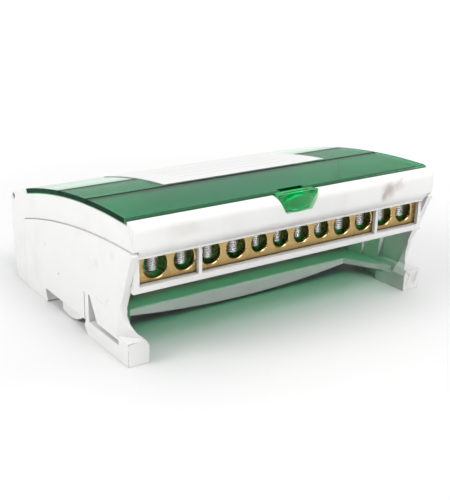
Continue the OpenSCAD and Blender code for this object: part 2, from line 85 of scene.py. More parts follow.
# Numbers of the colour sockets of a Mix node: its two inputs and its result.
MIX_FIRST, MIX_SECOND, MIX_RESULT = 6, 7, 2

Colour = tuple[float, float, float]
Point = tuple[float, float, float]
Span = tuple[float, float]
Node = bpy.types.Node
Socket = bpy.types.NodeSocket
Feed = Socket | float | tuple[float, ...]

ORIGIN: Point = (0.0, 0.0, 0.0)
BLACK: Colour = (0.0, 0.0, 0.0)
WHITE: Colour = (1.0, 1.0, 1.0)


class Slot(str, Enum):
    """Material slots of the record."""

    WHITE = "white_plastic"
    GREEN = "green_clear"
    PAPER = "paper"
    BRASS = "brass"
    ZINC = "zinc"


class Bar(str, Enum):
    """Brass bars from the latch side to the hinge side."""

    FRONT = "front"
    SECOND = "second"
    THIRD = "third"
    REAR = "rear"


class Bore(Enum):
    """Kinds of wire bore, with their diameters in millimetres."""

    SMALL = 7.0
    MEDIUM = 8.1
    LARGE = 9.3


class SocketKind(str, Enum):
    """Kinds of socket that the node groups have."""

    NUMBER = "NodeSocketFloat"
    VECTOR = "NodeSocketVector"


def metres(lengths: tuple[float, ...]) -> tuple[float, ...]:
    """Returns lengths in millimetres as metres."""
    return tuple(length * MM for length in lengths)


def dimmed(colour: Colour, share: float) -> Colour:
    """Returns a colour at a share of its brightness."""
    return tuple(share * part for part in colour)


class Graph:
    """Short way to add and join the nodes of one node tree."""

    def __init__(self, tree: bpy.types.NodeTree) -> None:
        """Keeps the tree that nodes are added to."""
        self.tree = tree

    def add(self, kind: str, inputs: dict[str | int, Feed] | None = None, **settings: object) -> Node:
        """Adds a node.

        Args:
            kind: Blender's name of the node type.
            inputs: Socket names or numbers with a value, or with a socket that feeds them.
            settings: Properties of the node.

        Returns:
            The new node.
        """
        node = self.tree.nodes.new(kind)
        for name, value in settings.items():
            setattr(node, name, value)
        self.fill(node, inputs or {})
        return node

    def fill(self, node: Node, inputs: dict[str | int, Feed]) -> None:
        """Sets inputs of a node to values or joins them to output sockets.

        Args:
            node: The node.
            inputs: Socket names or numbers with a socket, number, vector or colour.
        """
        for name, value in inputs.items():
            socket = node.inputs[name]
            if isinstance(value, Socket):
                self.tree.links.new(value, socket)
            elif socket.type == "RGBA":
                socket.default_value = (*value, 1.0)
            else:
                socket.default_value = value

    def math(self, operation: str, first: Feed, second: Feed = 0.0, clamp: bool = False) -> Socket:
        """Returns the result of a Math node."""
        node = self.add("ShaderNodeMath", {0: first, 1: second}, operation=operation, use_clamp=clamp)
        return node.outputs[0]

    def times(self, first: Feed, second: Feed) -> Socket:
        """Returns the product of two values."""
        return self.math("MULTIPLY", first, second)

    def plus(self, first: Feed, second: Feed) -> Socket:
        """Returns the sum of two values."""
        return self.math("ADD", first, second)

    def minus(self, first: Feed, second: Feed) -> Socket:
        """Returns the first value less the second."""
        return self.math("SUBTRACT", first, second)

    def most(self, first: Feed, second: Feed) -> Socket:
        """Returns the larger of two values."""
        return self.math("MAXIMUM", first, second)

    def size(self, value: Feed) -> Socket:
        """Returns a value without its sign."""
        return self.math("ABSOLUTE", value)

    def vector(self, operation: str, first: Feed, second: Feed = ORIGIN) -> Socket:
        """Returns the vector that a Vector Math node gives."""
        node = self.add("ShaderNodeVectorMath", {0: first, 1: second}, operation=operation)
        return node.outputs["Vector"]

    def scalar(self, operation: str, first: Feed, second: Feed = ORIGIN) -> Socket:
        """Returns the number that a Vector Math node gives."""
        node = self.add("ShaderNodeVectorMath", {0: first, 1: second}, operation=operation)
        return node.outputs["Value"]

    def split(self, vector: Socket) -> tuple[Socket, Socket, Socket]:
        """Returns the X, Y and Z parts of a vector."""
        return tuple(self.add("ShaderNodeSeparateXYZ", {0: vector}).outputs)

    def place(self) -> Socket:
        """Returns the object's own coordinates, which are the row frame in metres."""
        return self.add("ShaderNodeTexCoord").outputs["Object"]

    def ray(self, name: str) -> Socket:
        """Returns a named output of a Light Path node."""
        return self.add("ShaderNodeLightPath").outputs[name]

    def mix(self, share: Feed, first: Feed, second: Feed) -> Socket:
        """Mixes two colours.

        Args:
            share: Share of the second colour.
            first: Colour at a share of 0.
            second: Colour at a share of 1.

        Returns:
            The mixed colour.
        """
        inputs = {"Factor": share, MIX_FIRST: first, MIX_SECOND: second}
        return self.add("ShaderNodeMix", inputs, data_type="RGBA").outputs[MIX_RESULT]

    def noise(self, scale: Feed, detail: float, place: Socket | None = None) -> Socket:
        """Adds a noise texture.

        Args:
            scale: How fine the noise is.
            detail: Number of finer layers in it.
            place: Coordinates; the object's own if left out.

        Returns:
            The noise, which lies about a half.
        """
        inputs = {"Scale": scale, "Detail": detail, "Vector": self.place() if place is None else place}
        return self.add("ShaderNodeTexNoise", inputs).outputs["Fac"]

    def ramp(self, value: Feed, before: tuple[Feed, Feed], after: Span = (0.0, 1.0)) -> Socket:
        """Maps a value from one range to another, smoothly and clamped.

        Args:
            value: The value.
            before: The two ends of its range.
            after: What each end becomes.

        Returns:
            The mapped value.
        """
        names = ("Value", "From Min", "From Max", "To Min", "To Max")
        inputs = dict(zip(names, (value, *before, *after)))
        return self.add("ShaderNodeMapRange", inputs, interpolation_type="SMOOTHSTEP").outputs["Result"]


class Groups:
    """Shader node groups that several finishes share, each built once."""

    @staticmethod
    def start(name: str, inputs: dict[str, SocketKind],
              outputs: dict[str, SocketKind]) -> tuple[Graph, Node, Node]:
        """Makes a group that has only its sockets.

        Args:
            name: Name of the group.
            inputs: Kind of each input.
            outputs: Kind of each output.

        Returns:
            The group's graph, the node that gives its inputs and the node that takes its outputs.
        """
        tree = bpy.data.node_groups.new(name, "ShaderNodeTree")
        for side, sockets in (("INPUT", inputs), ("OUTPUT", outputs)):
            for label, kind in sockets.items():
                tree.interface.new_socket(label, in_out=side, socket_type=kind.value)
        graph = Graph(tree)
        return graph, graph.add("NodeGroupInput"), graph.add("NodeGroupOutput")

    @staticmethod
    @cache
    def spot() -> bpy.types.NodeTree:
        """Makes the mask of a ragged ellipsoid in object space.

        The distance from the centre, over the radius on each axis, is shifted by noise. The mask is 0
        where that is 1 or more and rises to 1 over the share of the radius that Edge gives.

        Returns:
            The group.
        """
        vector, number = SocketKind.VECTOR, SocketKind.NUMBER
        inputs = {"Centre": vector, "Radii": vector, "Edge": number, "Ragged": number, "Grain": number}
        graph, given, out = Groups.start("ragged_spot", inputs, {"Mask": number})
        place = graph.place()
        away = graph.vector("SUBTRACT", place, given.outputs["Centre"])
        reach = graph.scalar("LENGTH", graph.vector("DIVIDE", away, given.outputs["Radii"]))
        grain = graph.noise(given.outputs["Grain"], GRAIN_DETAIL, place)
        jitter = graph.times(graph.minus(grain, 0.5), given.outputs["Ragged"])
        full = graph.minus(1.0, given.outputs["Edge"])
        graph.fill(out, {"Mask": graph.ramp(graph.plus(reach, jitter), (1.0, full))})
        return graph.tree

    @staticmethod
    @cache
    def scratch() -> bpy.types.NodeTree:
        """Makes the mask of a broken line between two points in object space.

        The foot of a place on the line is found by its share of the way from start to end. The mask
        falls from 1 at the foot to 0 at the width, times a mask of noise that breaks the line.

        Returns:
            The group.
        """
        vector, number = SocketKind.VECTOR, SocketKind.NUMBER
        inputs = {"Start": vector, "End": vector, "Width": number, "Grain": number}
        graph, given, out = Groups.start("broken_line", inputs, {"Mask": number})
        place = graph.place()
        from_start = graph.vector("SUBTRACT", place, given.outputs["Start"])
        course = graph.vector("SUBTRACT", given.outputs["End"], given.outputs["Start"])
        along = graph.scalar("DOT_PRODUCT", from_start, course)
        share = graph.math("DIVIDE", along, graph.scalar("DOT_PRODUCT", course, course), clamp=True)
        foot = graph.add("ShaderNodeVectorMath", {0: course, "Scale": share}, operation="SCALE")
        away = graph.scalar("LENGTH", graph.vector("SUBTRACT", from_start, foot.outputs["Vector"]))
        near = graph.math("SUBTRACT", 1.0, graph.math("DIVIDE", away, given.outputs["Width"]), clamp=True)
        grain = graph.noise(given.outputs["Grain"], GRAIN_DETAIL, place)
        graph.fill(out, {"Mask": graph.times(near, graph.ramp(grain, (0.36, 0.6)))})
        return graph.tree

    @staticmethod
    @cache
    def relief() -> bpy.types.NodeTree:
        """Makes softened edges with a mask of them, and a fine moulded grain on the normal.

        An edge is where the softened normal leaves the flat one: the mask grows as the cosine between
        them falls.

        Returns:
            The group.
        """
        number = SocketKind.NUMBER
        inputs = {"Radius": number, "Scale": number, "Strength": number}
        outputs = {"Normal": SocketKind.VECTOR, "Edge": number}
        graph, given, out = Groups.start("moulded_relief", inputs, outputs)
        bevel = graph.add("ShaderNodeBevel", {"Radius": given.outputs["Radius"]}, samples=BEVEL_SAMPLES)
        soft = bevel.outputs["Normal"]
        grain = graph.noise(given.outputs["Scale"], GRAIN_DETAIL)
        bump = graph.add("ShaderNodeBump", {"Strength": given.outputs["Strength"], "Distance": 0.2 * MM,
                                            "Height": grain, "Normal": soft})
        flat = graph.add("ShaderNodeNewGeometry").outputs["True Normal"]
        edge = graph.ramp(graph.scalar("DOT_PRODUCT", soft, flat), (0.985, 0.8))
        graph.fill(out, {"Normal": bump.outputs["Normal"], "Edge": edge})
        return graph.tree


@dataclass(frozen=True)
class Mottle:
    """Noise that is cut to a mask.

    Attributes:
        scale: How fine the noise is.
        detail: Number of finer layers in it.
        span: Noise at which the mask starts and is full.
    """

    scale: float
    detail: float
    span: Span

    def mask(self, graph: Graph, after: Span = (0.0, 1.0)) -> Socket:
        """Returns the mask, mapped to a span."""
        return graph.ramp(graph.noise(self.scale, self.detail), self.span, after)


@dataclass(frozen=True)
class Mark:
    """A stain, scuff or dot on a finish.

    Attributes:
        centre: Middle of the mark in the row frame, in millimetres.
        radii: Reach of the mark along each axis, in millimetres.
        colour: Colour that the mark leaves.
        strength: Share of the colour at the middle.
        edge: Share of the radius over which it fades.
        ragged: How far noise eats into its outline.
        grain: Scale of that noise.
    """

    centre: Point
    radii: Point
    colour: Colour
    strength: float
    edge: float
    ragged: float
    grain: float = 420.0

    def mask(self, graph: Graph) -> Socket:
        """Returns where the mark lies."""
        inputs = {"Centre": metres(self.centre), "Radii": metres(self.radii), "Edge": self.edge,
                  "Ragged": self.ragged, "Grain": self.grain}
        return graph.add("ShaderNodeGroup", inputs, node_tree=Groups.spot()).outputs["Mask"]


@dataclass(frozen=True)
class Scratch:
    """A line on a finish, broken where its grain is fine.

    Attributes:
        start: One end in the row frame, in millimetres.
        end: The other end.
        width: Reach to each side, in millimetres.
        colour: Colour that the line leaves.
        strength: Share of the colour along the middle.
        grain: Scale of the noise that breaks it.
    """

    start: Point
    end: Point
    width: float
    colour: Colour
    strength: float
    grain: float = 500.0

    def mask(self, graph: Graph) -> Socket:
        """Returns where the line lies."""
        inputs = {"Start": metres(self.start), "End": metres(self.end), "Width": self.width * MM,
                  "Grain": self.grain}
        return graph.add("ShaderNodeGroup", inputs, node_tree=Groups.scratch()).outputs["Mask"]


def lay_over(graph: Graph, colour: Feed, marks: tuple[Mark | Scratch, ...]) -> Feed:
    """Lays marks and lines over a colour in order.

    Args:
        graph: Tree of the material.
        colour: Colour under them.
        marks: The marks and lines.

    Returns:
        The colour with all of them.
    """
    for mark in marks:
        colour = graph.mix(graph.times(mark.mask(graph), mark.strength), colour, mark.colour)
    return colour


@dataclass(frozen=True)
class Finish:
    """A material of one slot.

    Attributes:
        slot: The record's slot that the finish belongs to.
        colour: Base colour.
        roughness: Middle of the surface's roughness.
    """

    slot: Slot
    colour: Colour
    roughness: float

    def material(self) -> bpy.types.Material:
        """Makes the Blender material, with a Principled BSDF at its own top level.

        Returns:
            The material, named for its slot.
        """
        made = bpy.data.materials.new(self.slot.value)
        made.use_nodes = True
        graph = Graph(made.node_tree)
        shader = made.node_tree.nodes["Principled BSDF"]
        graph.fill(shader, {"Base Color": self.colour, "Roughness": self.roughness})
        self.shade(graph, shader)
        return made

    def rough_span(self, reach: Span) -> Span:
        """Returns the roughness moved by each end of a span."""
        return self.roughness + reach[0], self.roughness + reach[1]

    def shade(self, graph: Graph, shader: Node) -> None:
        """Joins the finish's own nodes to the Principled BSDF."""


@dataclass(frozen=True)
class MouldedPlastic(Finish):
    """Satin white moulding with handling marks and painted shade.

    Attributes:
        marks: Stains, scuffs and lines, and a painted shade line along a corner.
        grime: Colour of the mottling.
        cloud: Mottling.
        patch: Wider noise that leaves clean stretches between it.
        cloud_share: Share of grime where the mottling is full.
        wear: Colour of rubbed lower edges.
        rub: Noise that breaks up the wear.
        rub_height: Heights of little and of much wear, in millimetres.
        rub_share: Shares of wear at these heights.
        bounce_shade: Painted shade: share of light that it keeps back from other faces by darkening the
            colour that bounce rays see, so that the inside stays deep.
        sheen: Noise of the roughness.
        sheen_reach: How far it moves the roughness.
        edge_radius: Rounding of the edges, in millimetres.
        grain_scale: How fine the moulded grain is.
        grain_depth: Strength of the moulded grain.
        bending: Index of refraction.
    """

    marks: tuple[Mark | Scratch, ...]
    grime: Colour = (0.62, 0.57, 0.53)
    cloud: Mottle = Mottle(90.0, 6.0, (0.42, 0.72))
    patch: Mottle = Mottle(22.0, 2.0, (0.35, 0.65))
    cloud_share: float = 0.16
    wear: Colour = (0.4, 0.3, 0.22)
    rub: Mottle = Mottle(260.0, 3.0, (0.4, 0.62))
    rub_height: Span = (11.0, 7.0)
    rub_share: Span = (0.12, 0.6)
    bounce_shade: float = 0.35
    sheen: Mottle = Mottle(240.0, 3.0, (0.2, 0.8))
    sheen_reach: Span = (-0.06, 0.08)
    edge_radius: float = 0.35
    grain_scale: float = 2600.0
    grain_depth: float = 0.08
    bending: float = 1.46

    def shade(self, graph: Graph, shader: Node) -> None:
        """Adds mottling, marks, worn lower edges, painted shade for bounce rays and moulded relief.

        Args:
            graph: Tree of the material.
            shader: Its Principled BSDF.
        """
        inputs = {"Radius": self.edge_radius * MM, "Scale": self.grain_scale, "Strength": self.grain_depth}
        relief = graph.add("ShaderNodeGroup", inputs, node_tree=Groups.relief())
        cloud = graph.times(self.cloud.mask(graph), self.patch.mask(graph))
        colour = graph.mix(graph.times(cloud, self.cloud_share), self.colour, self.grime)
        colour = lay_over(graph, colour, self.marks)
        height = graph.split(graph.place())[2]
        low = graph.ramp(height, metres(self.rub_height), self.rub_share)
        rubbed = graph.times(relief.outputs["Edge"], graph.times(self.rub.mask(graph), low))
        colour = graph.mix(rubbed, colour, self.wear)
        # Painted shade: the colour that bounce rays see is darker, so that less light reaches the inside.
        bounce_shade_share = graph.times(graph.ray("Is Diffuse Ray"), self.bounce_shade)
        graph.fill(shader, {
            "Base Color": graph.mix(bounce_shade_share, colour, BLACK),
            "Roughness": self.sheen.mask(graph, self.rough_span(self.sheen_reach)),
            "IOR": self.bending,
            "Normal": relief.outputs["Normal"],
        })


@dataclass(frozen=True)
class ClearPlastic(Finish):
    """See-through green moulding that lets lamps reach what it covers.

    Attributes:
        tint: What the moulding lets through to lamps.
        latch_glow: Painted glow in the latch, standing in for light that the sheet leads there.
        latch_start: Where the latch starts, in millimetres from the middle.
        lip_glow: Painted glow along the front edge, standing in for light that the sheet leads there.
        lip_start: Where that edge starts, in millimetres from the middle.
        grooves: Places of the two grooves along its top, in millimetres from the middle.
        groove_half: Half width at which a groove's painted shade and roughness start and are full, in
            millimetres.
        dark: Painted shade in the grooves and on the side edges, which are also matt.
        side_facing: How far a face looks sideways where that painted shade starts and is full.
        thick: Colour of the latch, where the moulding is thickest.
        haze: Noise of the roughness.
        haze_reach: How far it moves the roughness.
        bending: Index of refraction.
    """

    tint: Colour = (0.006, 0.24, 0.03)
    latch_glow: Colour = (0.0, 0.085, 0.022)
    latch_start: Span = (-47.4, -48.4)
    lip_glow: Colour = (0.0, 0.1, 0.025)
    lip_start: Span = (-45.5, -46.2)
    grooves: tuple[float, ...] = (-18.4, 4.4)
    groove_half: Span = (0.9, 0.6)
    dark: Colour = (0.0, 0.03, 0.014)
    side_facing: Span = (0.6, 0.8)
    thick: Colour = (0.0, 0.42, 0.12)
    haze: Mottle = Mottle(160.0, 5.0, (0.35, 0.75))
    haze_reach: Span = (-0.014, 0.0224)
    bending: float = 1.49

    def shade(self, graph: Graph, shader: Node) -> None:
        """Adds haze, painted shade and roughness in the grooves and on the sides, lit latch and lip, and a
        tinted way for shadow rays.

        Args:
            graph: Tree of the material.
            shader: Its Principled BSDF.
        """
        ahead = graph.split(graph.place())[1]
        sideways = graph.split(graph.add("ShaderNodeTexCoord").outputs["Normal"])[0]
        latch = graph.ramp(ahead, metres(self.latch_start))
        lip = graph.ramp(ahead, metres(self.lip_start))
        side = graph.ramp(graph.size(sideways), self.side_facing)
        # Painted shade: the grooves and the side edges are darkened and made rough.
        dull_and_shaded = graph.times(side, graph.minus(1.0, lip))
        for groove in self.grooves:
            away = graph.size(graph.minus(ahead, groove * MM))
            dull_and_shaded = graph.most(dull_and_shaded, graph.ramp(away, metres(self.groove_half)))
        haze = self.haze.mask(graph, self.rough_span(self.haze_reach))
        graph.fill(shader, {
            "Base Color": graph.mix(latch, graph.mix(dull_and_shaded, self.colour, self.dark), self.thick),
            "Roughness": graph.most(haze, dull_and_shaded),
            "IOR": self.bending,
            "Transmission Weight": 1.0,
            # Painted glow: emission on the latch and along the front edge.
            "Emission Color": graph.mix(latch, graph.mix(lip, BLACK, self.lip_glow), self.latch_glow),
            "Emission Strength": 1.0,
        })
        through = graph.add("ShaderNodeBsdfTransparent", {"Color": self.tint})
        both = graph.add("ShaderNodeMixShader", {0: graph.ray("Is Shadow Ray"), 1: shader.outputs[0],
                                                 2: through.outputs[0]})
        graph.fill(graph.tree.nodes["Material Output"], {"Surface": both.outputs[0]})


@dataclass(frozen=True)
class Paper(Finish):
    """Matt paper with a faint mottle and blank ruled lines.

    Attributes:
        rules: The ruled lines.
        fibre: Mottle of the fibres.
        fibre_share: Share of the darker colour where the mottle is full.
        fibre_tone: Brightness of the darker colour against the paper's own.
        gloss: Strength of its reflection.
    """

    rules: tuple[Scratch, ...]
    fibre: Mottle = Mottle(900.0, 4.0, (0.3, 0.7))
    fibre_share: float = 0.4
    fibre_tone: float = 0.95
    gloss: float = 0.25

    def shade(self, graph: Graph, shader: Node) -> None:
        """Adds the mottle of the paper's fibres and the rules.

        Args:
            graph: Tree of the material.
            shader: Its Principled BSDF.
        """
        fibre = graph.times(self.fibre.mask(graph), self.fibre_share)
        colour = graph.mix(fibre, self.colour, dimmed(self.colour, self.fibre_tone))
        colour = lay_over(graph, colour, self.rules)
        graph.fill(shader, {"Base Color": colour, "Specular IOR Level": self.gloss})


@dataclass(frozen=True)
class DrawnBrass(Finish):
    """Brass with fine drawn lines, stains, painted shade below and in the bores, and polished rims round
    them with a painted highlight.

    Attributes:
        marks: Lines along the bar; on the front bar, painted shade along its lower edge.
        tarnish_and_shade: Colour of stains, and of the painted shade on undersides and in bores.
        stain: Mottle of the stains.
        stain_share: Share of tarnish in a full stain.
        under_facing: How far up a face looks where an underside starts and is full.
        underside_shade: Share of painted shade on an underside.
        bore_facing: How far along the depth a face looks where a bore's wall starts and is full.
        bore_shade: Share of painted shade on a bore's wall.
        rim: Colour of the chamfers round the bores, polished and with a painted highlight.
        rim_facing: How far a chamfer looks along the depth.
        rim_span: Distance from that at which the rim starts and is full.
        rim_side: How far to the right a face looks where the rim's painted highlight starts and is full.
        line_scale: Stretch of the noise of the drawn lines along each axis.
        line_detail: Number of finer layers in it.
        line_span: Noise at the two ends of the roughness.
        line_reach: How far the lines move the roughness.
        line_depth: Strength of the lines' relief.
        line_height: Height of the lines, in millimetres.
        edge_radius: Rounding of the edges, in millimetres.
    """

    marks: tuple[Scratch, ...]
    tarnish_and_shade: Colour = (0.2, 0.12, 0.035)
    stain: Mottle = Mottle(300.0, 5.0, (0.45, 0.75))
    stain_share: float = 0.35
    under_facing: Span = (-0.1, -0.6)
    underside_shade: float = 0.75
    bore_facing: Span = (0.3, 0.1)
    bore_shade: float = 0.6
    rim: Colour = (0.62, 0.46, 0.21)
    rim_facing: float = 0.707
    rim_span: Span = (0.06, 0.02)
    rim_side: Span = (0.25, 0.0)
    line_scale: Point = (60.0, 1500.0, 1500.0)
    line_detail: float = 3.0
    line_span: Span = (0.2, 0.8)
    line_reach: Span = (-0.07, 0.12)
    line_depth: float = 0.12
    line_height: float = 0.05
    edge_radius: float = 0.25

    def shade(self, graph: Graph, shader: Node) -> None:
        """Adds stains, painted shade below and in the bores, polished rims with a painted highlight, drawn
        lines and softened edges.

        Args:
            graph: Tree of the material.
            shader: Its Principled BSDF.
        """
        facing = graph.add("ShaderNodeNewGeometry").outputs["True Normal"]
        right, ahead, up = graph.split(facing)
        depthwise = graph.size(ahead)
        stain = graph.times(self.stain.mask(graph), self.stain_share)
        # Painted shade: undersides and bore walls are darkened towards the stain colour.
        under = graph.ramp(up, self.under_facing, (0.0, self.underside_shade))
        shaded_bore = graph.ramp(depthwise, self.bore_facing, (0.0, self.bore_shade))
        dull_and_shaded = graph.most(stain, graph.most(under, shaded_bore))
        colour = lay_over(graph, graph.mix(dull_and_shaded, self.colour, self.tarnish_and_shade), self.marks)
        # Painted highlight, with some polish: the chamfers round the bores are lighter, save where they
        # face right.
        slant = graph.size(graph.minus(depthwise, self.rim_facing))
        rim_polish_and_highlight = graph.times(graph.ramp(slant, self.rim_span), graph.ramp(right, self.rim_side))
        lines = graph.noise(1.0, self.line_detail, graph.vector("MULTIPLY", graph.place(), self.line_scale))
        bevel = graph.add("ShaderNodeBevel", {"Radius": self.edge_radius * MM}, samples=BEVEL_SAMPLES)
        bump = graph.add("ShaderNodeBump", {"Strength": self.line_depth, "Distance": self.line_height * MM,
                                            "Height": lines, "Normal": bevel.outputs["Normal"]})
        graph.fill(shader, {
            "Base Color": graph.mix(rim_polish_and_highlight, colour, self.rim),
            "Metallic": 1.0,
            "Roughness": graph.ramp(lines, self.line_span, self.rough_span(self.line_reach)),
            "Normal": bump.outputs["Normal"],
        })


@dataclass(frozen=True)
class PlatedSteel(Finish):
    """Plated screws with painted shade in their thread grooves.

    Attributes:
        cloud: Mottle of the plating.
        cloud_tone: Brightness where the mottle is full, against the plating's own.
        groove: Painted shade in the thread grooves.
        groove_depth: Depth in the thread at which that painted shade starts and is full.
    """

    cloud: Mottle = Mottle(400.0, 3.0, (0.3, 0.7))
    cloud_tone: float = 0.85
    groove: Colour = (0.5, 0.5, 0.5)
    groove_depth: Span = (0.5, 1.0)

    def shade(self, graph: Graph, shader: Node) -> None:
        """Paints shade into the thread grooves and varies the plating a little.

        Args:
            graph: Tree of the material.
            shader: Its Principled BSDF.
        """
        depth = graph.add("ShaderNodeAttribute", attribute_name=GROOVE).outputs["Fac"]
        plating = graph.mix(self.cloud.mask(graph), self.colour, dimmed(self.colour, self.cloud_tone))
        # Painted shade: the plating is darker the deeper a corner lies in the thread.
        colour = graph.mix(graph.ramp(depth, self.groove_depth), plating, self.groove)
        graph.fill(shader, {"Base Color": colour, "Metallic": 1.0})


class Surface:
    """Quad grids that are joined into one mesh."""

    def __init__(self) -> None:
        """Starts with no grid."""
        self._points: list[np.ndarray] = []
        self._quads: list[np.ndarray] = []
        self._depths: list[np.ndarray] = []
        self._count = 0

    def grid(self, points: np.ndarray, wrap: bool = False, depth: np.ndarray | None = None) -> None:
        """Adds copies of a grid.

        Each quad joins a corner, the next one in its row, and the two at the same columns of the next row.

        Args:
            points: Corner places, shaped (copies, rows, columns, 3).
            wrap: True if the last column joins the first.
            depth: How deep each corner lies in a groove, from 0 to 1; none if left out.
        """
        copies, rows, columns, _ = points.shape
        index = np.arange(rows * columns).reshape(rows, columns)
        near = np.concatenate([index, index[:, :1]], axis=1) if wrap else index
        corners = [near[:-1, :-1], near[:-1, 1:], near[1:, 1:], near[1:, :-1]]
        quads = np.stack(corners, axis=-1).reshape(-1, 4)
        offsets = (np.arange(copies) * rows * columns + self._count)[:, None, None]
        self._points.append(points.reshape(-1, 3))
        self._quads.append((quads[None] + offsets).reshape(-1, 4))
        self._depths.append((np.zeros(points.shape[:-1]) if depth is None else depth).ravel())
        self._count += points.size // 3

    def build(self, name: str) -> bpy.types.Object:
        """Makes the mesh object.

        Args:
            name: Name of the object.

        Returns:
            The object, linked to the scene.
        """
        points, quads = np.concatenate(self._points), np.concatenate(self._quads)
        depths = np.concatenate(self._depths).astype(np.float32)
        mesh = bpy.data.meshes.new(name)
        mesh.vertices.add(len(points))
        mesh.vertices.foreach_set("co", points.astype(np.float32).ravel())
        mesh.loops.add(quads.size)
        mesh.loops.foreach_set("vertex_index", quads.astype(np.int32).ravel())
        mesh.polygons.add(len(quads))
        mesh.polygons.foreach_set("loop_start", np.arange(0, quads.size, 4, dtype=np.int32))
        mesh.update(calc_edges=True)
        mesh.attributes.new(GROOVE, "FLOAT", "POINT").data.foreach_set("value", depths)
        mesh.validate()
        mesh.shade_smooth()
        mesh.set_sharp_from_angle(angle=math.radians(CREASE))
        made = bpy.data.objects.new(name, mesh)
        bpy.context.scene.collection.objects.link(made)
        return made


@dataclass(frozen=True)
class BoreRow:
    """Wire bores of one bar, as the solids space them.

    Attributes:
        kinds: Kind of each bore from left to right.
        chamfer: Chamfer round a bore, in millimetres.
        reach: Half length of the row from rim to rim, in millimetres.
        tip_share: Share of a bore's radius that a screw reaches below its middle.
    """

    kinds: tuple[Bore, ...] = (Bore.LARGE, *(Bore.MEDIUM,) * 3, *(Bore.SMALL,) * 4, *(Bore.MEDIUM,) * 4)
    chamfer: float = 0.3
    reach: float = 61.1
    tip_share: float = 0.6

    def radii(self) -> np.ndarray:
        """Returns the radius of each bore in millimetres."""
        return np.array([kind.value for kind in self.kinds]) / 2

    def centres(self) -> np.ndarray:
        """Works out the bores' places, which leave the same web between any two rims.

        Returns:
            The place of each bore along the bar in millimetres.
        """
        rims = 2 * (self.radii() + self.chamfer)
        web = (2 * self.reach - rims.sum()) / (len(rims) - 1)
        starts = np.concatenate([[0.0], np.cumsum(rims + web)[:-1]])
        return starts + rims / 2 - self.reach


@dataclass(frozen=True)
class ScrewSize:
    """Sizes of one kind of clamp screw, in millimetres.

    Attributes:
        label: Ending of the piece's name.
        bores: Kinds of bore that it stands over.
        shank: Outer diameter of the thread.
        pitch: Rise of the thread in one turn.
        head: Diameter of the head.
        head_h: Height of the head.
        slot_w: Width of the slot.
        slot_h: Depth of the slot.
        chamfer: Chamfer round the head's top.
        thread_share: Depth of the thread as a share of its pitch.
        flank_slope: Rise of a flank in one turn, in thread depths.
        root_share: Part of that rise that the flat root cuts off.
        tip_share: What the tip's cone takes off the radius at its end, in thread depths.
    """

    label: str
    bores: tuple[Bore, ...]
    shank: float
    pitch: float
    head: float
    head_h: float = 3.0
    slot_w: float = 1.2
    slot_h: float = 1.5
    chamfer: float = 0.35
    thread_share: float = 0.62
    flank_slope: float = 2.5
    root_share: float = 0.12
    tip_share: float = 1.2


